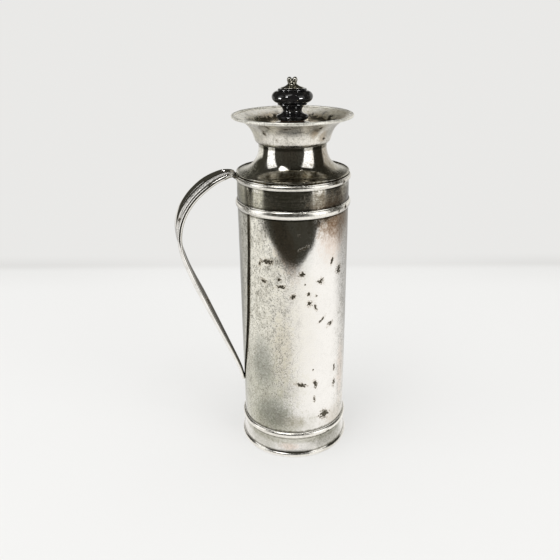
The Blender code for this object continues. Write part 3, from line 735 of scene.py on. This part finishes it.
COLLAR_FILMS = [
    (0, 260, ALL_ROUND, 30, 0, (0.985, 0.965, 0.90), 1.0, 0.20),
    # Dirt and painted shade along the collar's lower edge
    (0, 251.6, ALL_ROUND, 1.6, 0, GRIME_AND_SHADE, 0.8),
    (30, 261, 9, 9, 0, BROWN_FILM, 0.95),
    (46, 258, 10, 10, 0, BROWN_FILM, 0.9),
    (-12, 265, 8, 3, 0, BROWN_FILM, 0.4),
    (62, 262, 16, 12, 0, GREY_FILM, 0.7),
    (-62, 260, 16, 14, 0, OLIVE_FILM, 0.9),
    (100, 262, 16, 8, 0, BROWN_FILM, 0.8),
    (160, 260, 14, 8, 0, BROWN_FILM, 0.6),
    (-120, 262, 18, 8, 0, BROWN_FILM, 0.7),
]
FUNNEL_FILMS = [
    (0, 270.4, ALL_ROUND, 12.0, 0, (0.97, 0.955, 0.89), 1.0, 0.4),
    (0, 259, ALL_ROUND, 16, 0, (0.74, 0.70, 0.58), 0.9, 0.16),
    # Painted reflections: the dark patches at -150 and 150 on the far inner wall stand for the reflected knob and dim
    # room
    (-150, 264, 30, 8, 0, BROWN_FILM, 0.8),
    (150, 263, 24, 8, 0, BROWN_FILM, 0.7),
    (30, 262, 30, 8, 0, BROWN_FILM, 0.6),
    (-60, 263, 26, 8, 0, GREY_FILM, 0.6),
    (95, 266, 18, 6, 0, BROWN_FILM, 0.7),
    # Painted reflection: the dark patch at 118 on the far inner wall stands for the reflected dim room
    (118, 266.5, 46, 15, 0, (0.30, 0.28, 0.22), 1.0),
    (-118, 264, 24, 7, 0, (0.5, 0.48, 0.38), 0.8),
]
COLLAR_WORN = [
    (-40, 261, 4, 6, 0), (-28, 266, 3, 3, 0), (-22, 256, 3, 3, 0), (-6, 265.5, 8, 1.5, 0), (34, 265, 4, 3, 0),
    (50, 256, 7, 3, 0), (120, 262, 5, 4, 0), (-90, 264, 5, 4, 0), (-150, 261, 4, 4, 0),
]
NECK_FILMS = [
    # The shoulder's matte sides, and its front middle darkened as a painted reflection of the dim room
    (-78, 232, 44, 16, 0, (0.66, 0.65, 0.56), 0.95, 0.2),
    (78, 232, 44, 16, 0, (0.62, 0.61, 0.52), 0.95, 0.2),
    (180, 232, 60, 14, 0, (0.62, 0.61, 0.52), 0.95, 0.17),
    # Painted reflection of the dim room on the shoulder's front middle
    (5, 230, 48, 24, 0, (0.22, 0.20, 0.15), 0.97),
    (4, 230, 46, 16, 0, (0.30, 0.28, 0.22), 1.0),
    # Grime and painted shade under the collar and over the case's edge, and stains on the neck
    (0, 249.6, ALL_ROUND, 3, 0, GRIME_AND_SHADE, 0.9),
    (0, 228.6, ALL_ROUND, 1.6, 0, GRIME_AND_SHADE, 0.8),
    (60, 243, 30, 34, 0, (0.38, 0.32, 0.24), 0.95),
    (-58, 243, 14, 30, 0, OLIVE_FILM, 0.9),
    (-4, 246, 14, 16, 0, RED_FILM, 0.35),
    (120, 240, 24, 20, 0, BROWN_FILM, 0.6),
    (-110, 238, 24, 20, 0, BROWN_FILM, 0.5),
    (180, 238, 24, 16, 0, GREY_FILM, 0.6),
]
FOOT_FILMS = [
    (0, 15.5, ALL_ROUND, 9, 0, (0.60, 0.60, 0.53), 0.9, 0.06),
    # Dirt and painted shade under the foot bead and over the lip
    (0, 17.0, ALL_ROUND, 2.4, 0, GRIME_AND_SHADE, 0.85),
    (0, 4.4, ALL_ROUND, 1.7, 0, GRIME_AND_SHADE, 0.9),
    (0, 1.6, ALL_ROUND, 3.0, 0, (1.0, 0.99, 0.95), 1.0, 0.22),
    (-6, 9, 18, 7, 0, PINK_FILM, 0.8),
    (46, 11, 44, 20, 0, (0.36, 0.36, 0.32), 0.97),
    (-40, 11, 40, 16, 0, (0.6, 0.6, 0.55), 0.95),
    (120, 10, 30, 9, 0, GREY_FILM, 0.8),
    (-140, 9, 30, 9, 0, BROWN_FILM, 0.4),
]
BEAD_FILMS = [(0, 120, ALL_ROUND, 900, 0, (1.0, 0.99, 0.95), 1.0, 0.17)]
BEAD_WORN = [
    (46, 227, 5, 4, 0), (58, 226, 5, 4, 0), (50, 206, 4, 3, 0), (62, 207, 5, 4, 0), (40, 19, 4, 2, 0),
    (26, 18, 5, 1.5, 0), (-70, 226, 4, 3, 0), (120, 227, 5, 3, 0), (-130, 207, 5, 3, 0), (160, 20, 5, 3, 0),
]
RIM_FILMS = [(0, 270, ALL_ROUND, 90, 0, (1.0, 0.99, 0.95), 1.0, 0.25)]
FINIAL_FILMS = [(0, 292.4, ALL_ROUND, 5.0, 0, (0.3, 0.29, 0.24), 0.9)]
STRAP_WORN = [(-82, 126, 12, 9, 30), (-80, 196, 6, 5, 0), (-82, 70, 8, 4, 0)]


def make_looks():
    """Every material by the short name that the pieces ask for."""
    return {
        # The body's clean strip at 28 degrees is partly a painted highlight from the right window
        "body": silver("body_silver", radius=BODY_R, rough=0.055, tarnish=0.5, speckle=0.85,
                       clean_highlight=(28, 14, 44, 0.1), brushed=(60.0, 0.12), films=BODY_FILMS, worn=BODY_WORN,
                       hatched=(216.5, 14.5, 0.6)),
        "bead": silver("bead_silver", radius=43.4, rough=0.10, tarnish=0.3, speckle=0.12, brushed=(60.0, 0.0),
                       films=BEAD_FILMS, worn=BEAD_WORN),
        "foot": silver("foot_silver", radius=43.0, rough=0.15, tarnish=0.3, speckle=0.2, brushed=(0.0, 0.2),
                       films=FOOT_FILMS),
        "neck": silver("neck_silver", radius=26.0, rough=0.09, tarnish=0.35, speckle=0.6, brushed=(50.0, 0.1),
                       films=NECK_FILMS),
        "collar": silver("collar_silver", radius=32.0, rough=0.14, tarnish=0.3, speckle=0.45,
                         films=COLLAR_FILMS, worn=COLLAR_WORN),
        "funnel": silver("funnel_silver", radius=32.0, rough=0.10, tarnish=0.35, speckle=0.4,
                         films=FUNNEL_FILMS),
        "rim": silver("rim_silver", radius=43.2, rough=0.2, tarnish=0.35, speckle=0.5, brushed=(60.0, 0.0),
                      films=RIM_FILMS, tone=(0.93, 0.915, 0.86)),
        "cap": silver("cap_silver", radius=20.0, rough=0.12, tarnish=0.3, speckle=0.3),
        "finial": silver("finial_silver", radius=4.0, rough=0.07, tarnish=0.2, speckle=0.0, brushed=(60.0, 0.0),
                         films=FINIAL_FILMS, tone=(0.62, 0.60, 0.54)),
        "handle": silver("handle_silver", radius=80.0, rough=0.09, tarnish=0.25, speckle=0.15,
                         brushed=(1.5, 0.05), worn=STRAP_WORN, has_grime_and_shade=True),
        "knob": lacquer("knob_lacquer"),
        "cork": plain("cork_grain", (0.62, 0.42, 0.25), (0.28, 0.16, 0.08), rough=0.75, size=1.6),
        "leather": plain("leather_grain", (0.13, 0.07, 0.04), (0.05, 0.03, 0.02), rough=0.6, size=0.6),
        "rubber": plain("rubber_grain", (0.05, 0.045, 0.04), (0.025, 0.022, 0.02), rough=0.65, size=1.0),
        "steel": plain("steel_grain", (0.55, 0.55, 0.54), (0.35, 0.34, 0.33), rough=0.35, size=1.2, metallic=1.0),
        "brass": plain("brass_grain", (0.76, 0.57, 0.27), (0.5, 0.36, 0.16), rough=0.3, size=1.5, metallic=1.0),
        "felt": plain("felt_fibre", (0.6, 0.58, 0.52), (0.4, 0.38, 0.33), rough=0.95, size=0.3),
    }


# Stage -----------------------------------------------------------------------------------------------------------


def stage_frame():
    """Turns a direction or place seen from the camera's side into the model's axes."""
    return Matrix.Rotation(-HANDLE_TURN, 4, "Z")


def make_camera():
    """The camera at the photo's view: turned, then pitched, then rolled."""
    data = bpy.data.cameras.new("camera")
    data.sensor_width = SENSOR
    data.lens = FOCAL_IN_WIDTHS * SENSOR
    data.clip_start = 0.01
    data.clip_end = 50.0
    camera = bpy.data.objects.new("camera", data)
    bpy.context.scene.collection.objects.link(camera)
    place = Matrix.Translation((0.0, -CAMERA_DISTANCE, CAMERA_HEIGHT))
    turn = Matrix.Rotation(CAMERA_YAW, 4, "Z") @ Matrix.Rotation(math.pi / 2 - CAMERA_PITCH, 4, "X")
    turn = turn @ Matrix.Rotation(CAMERA_ROLL, 4, "Z")
    camera.matrix_world = stage_frame() @ place @ turn
    bpy.context.scene.camera = camera


def make_world():
    """Pale all round for the camera and for soft light; in reflections, a pale wall behind and a dim room in front."""
    world = bpy.data.worlds.new("studio")
    bpy.context.scene.world = world
    world.use_nodes = True
    tree = world.node_tree
    tree.nodes.clear()
    n = Nodes(tree)
    toward = n.add("ShaderNodeTexCoord").outputs["Generated"]
    front = Vector((-math.sin(HANDLE_TURN), -math.cos(HANDLE_TURN), 0.0))
    right = Vector((math.cos(HANDLE_TURN), -math.sin(HANDLE_TURN), 0.0))
    ahead = n.add("ShaderNodeVectorMath", {"operation": "DOT_PRODUCT"}, i0=toward, i1=tuple(front)).outputs["Value"]
    up = n.add("ShaderNodeSeparateXYZ", None, i0=toward).outputs[2]
    side = n.add("ShaderNodeVectorMath", {"operation": "DOT_PRODUCT"}, i0=toward, i1=tuple(right)).outputs["Value"]
    # The wall reaches less high in the middle and far to the left
    middle = n.step(n.math("ABSOLUTE", side), 0.45, 0.25, 0.0, 0.22)
    top = n.math("ADD", n.math("ADD", up, middle), n.step(side, -0.25, -0.6, 0.0, 0.34))
    wall = n.math("MULTIPLY", n.step(ahead, -0.34, -0.48), n.step(top, 0.52, 0.36))
    room = n.mix(wall, ROOM_TONE, BACKDROP_TONE)
    path = n.add("ShaderNodeLightPath").outputs
    colour = n.mix(path["Is Diffuse Ray"], room, SOFT_TONE)
    colour = n.mix(path["Is Camera Ray"], colour, WALL_TONE)
    background = n.add("ShaderNodeBackground", None, Color=colour, Strength=1.0)
    out = n.add("ShaderNodeOutputWorld")
    tree.links.new(background.outputs[0], out.inputs[0])


def floor_material():
    """Pale paper that turns into the wall's tone behind the jug, with a soft shade where they meet."""
    made, n, shader, mm = new_material("floor_paper")
    place = n.add("ShaderNodeSeparateXYZ", None, i0=mm)
    back = n.math("MULTIPLY", place.outputs[1], MM)
    side = n.math("MULTIPLY", place.outputs[0], MM)
    far = n.step(back, WALL_PLACE - 0.02, WALL_PLACE + 0.02)
    crease = n.math("MULTIPLY", n.step(back, WALL_PLACE - 0.09, WALL_PLACE),
                    n.step(back, WALL_PLACE + 0.06, WALL_PLACE))
    shade = n.math("MULTIPLY", crease, n.step(n.math("ABSOLUTE", side), 0.1, 0.4, 0.05, 0.2))
    glow = n.mix(shade, WALL_TONE, CREASE_TONE)
    n.put(shader.inputs["Base Color"], (0.8, 0.8, 0.79))
    n.put(shader.inputs["Roughness"], 0.9)
    n.put(shader.inputs["Specular IOR Level"], 0.1)
    emission = n.add("ShaderNodeEmission", None, Color=glow, Strength=1.0)
    mixed = n.add("ShaderNodeMixShader", None, i0=n.step(far, 0.0, 1.0, 0.55, 1.0))
    n.tree.links.new(shader.outputs[0], mixed.inputs[1])
    n.tree.links.new(emission.outputs[0], mixed.inputs[2])
    out = next(node for node in n.tree.nodes if node.type == "OUTPUT_MATERIAL")
    n.tree.links.new(mixed.outputs[0], out.inputs[0])
    return made


def card_material():
    """The table top as reflections show it, brighter to the right, where the stronger window is."""
    made, n, shader, mm = new_material("card_paper")
    place = n.add("ShaderNodeSeparateXYZ", None, i0=mm)
    side = n.math("MULTIPLY", place.outputs[0], MM)
    back = n.math("MULTIPLY", place.outputs[1], MM)
    light = n.math("MULTIPLY", n.step(side, -0.06, 0.12, 0.93, 1.0), n.step(back, -0.02, 0.25, 1.0, 0.58))
    glow = n.mix(light, (0.0, 0.0, 0.0), TABLE_TONE)
    emission = n.add("ShaderNodeEmission", None, Color=glow, Strength=1.0)
    out = next(node for node in n.tree.nodes if node.type == "OUTPUT_MATERIAL")
    n.tree.links.new(emission.outputs[0], out.inputs[0])
    n.tree.nodes.remove(shader)
    return made


def make_floor():
    """The floor, which the camera sees, and the table top over it, which only reflections see."""
    left = [(-x, y + TABLE_SKEW) for x, y in TABLE_EDGE[:0:-1]]
    right = [(x, y - TABLE_SKEW) for x, y in TABLE_EDGE]
    square = [(side * FLOOR_SIZE, end * FLOOR_SIZE) for side, end in ((-1, -1), (1, -1), (1, 1), (-1, 1))]
    for name, outline, look, reflected in (("table_card", [*left, *right], card_material(), True),
                                           ("floor", square, floor_material(), False)):
        mesh = bpy.data.meshes.new(name)
        mesh.from_pydata([(x, y, -FLOOR_DROP) for x, y in outline], [], [tuple(range(len(outline)))])
        mesh.materials.append(look)
        obj = bpy.data.objects.new(name, mesh)
        bpy.context.scene.collection.objects.link(obj)
        obj.matrix_world = stage_frame()
        obj.visible_glossy = reflected
        obj.visible_camera = not reflected
        obj.visible_diffuse = not reflected
        obj.visible_shadow = not reflected


def window(name, azimuth, elevation, size, radiance, outline, distance=LIGHT_DISTANCE, aim=LIGHT_AIM, only=None):
    """A soft box that faces the jug's axis at height aim. With only, it lights that piece and nothing else."""
    width, height = size
    data = bpy.data.lights.new(name, "AREA")
    data.shape = outline
    data.size = width
    data.size_y = height
    data.energy = radiance * math.pi * width * height
    light = bpy.data.objects.new(name, data)
    bpy.context.scene.collection.objects.link(light)
    light.visible_camera = False
    a, e = math.radians(azimuth), math.radians(elevation)
    toward = Vector((math.sin(a) * math.cos(e), -math.cos(a) * math.cos(e), math.sin(e)))
    target = Vector((0.0, 0.0, aim))
    turn = toward.to_track_quat("Z", "Y").to_matrix().to_4x4()
    light.matrix_world = stage_frame() @ Matrix.Translation(target + toward * distance) @ turn
    if only:
        lit = bpy.data.collections.new(name + "_lit")
        lit.objects.link(only)
        light.light_linking.receiver_collection = lit


def make_lights():
    """Two tall windows, small lamps, and three cards that draw the highlights on the black knob."""
    knob = bpy.data.objects["turned_knob"]
    for card in KNOB_CARDS:
        window(*card, distance=CARD_DISTANCE, aim=CARD_AIM, only=knob)
    for light in WINDOWS:
        window(*light)
    window(*STRAP_LAMP, only=bpy.data.objects["reeded_strap"])


def main():
    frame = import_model()
    bpy.context.scene.view_settings.view_transform = "Standard"
    make_camera()
    make_world()
    make_floor()
    looks = make_looks()
    make_case(looks)
    make_shoulder(looks)
    make_stopper(looks)
    make_handle(looks)
    make_lights()
    for node, look in CAD_LOOKS.items():
        frame["nodes"][node].data.materials.clear()
        frame["nodes"][node].data.materials.append(looks[look])


main()
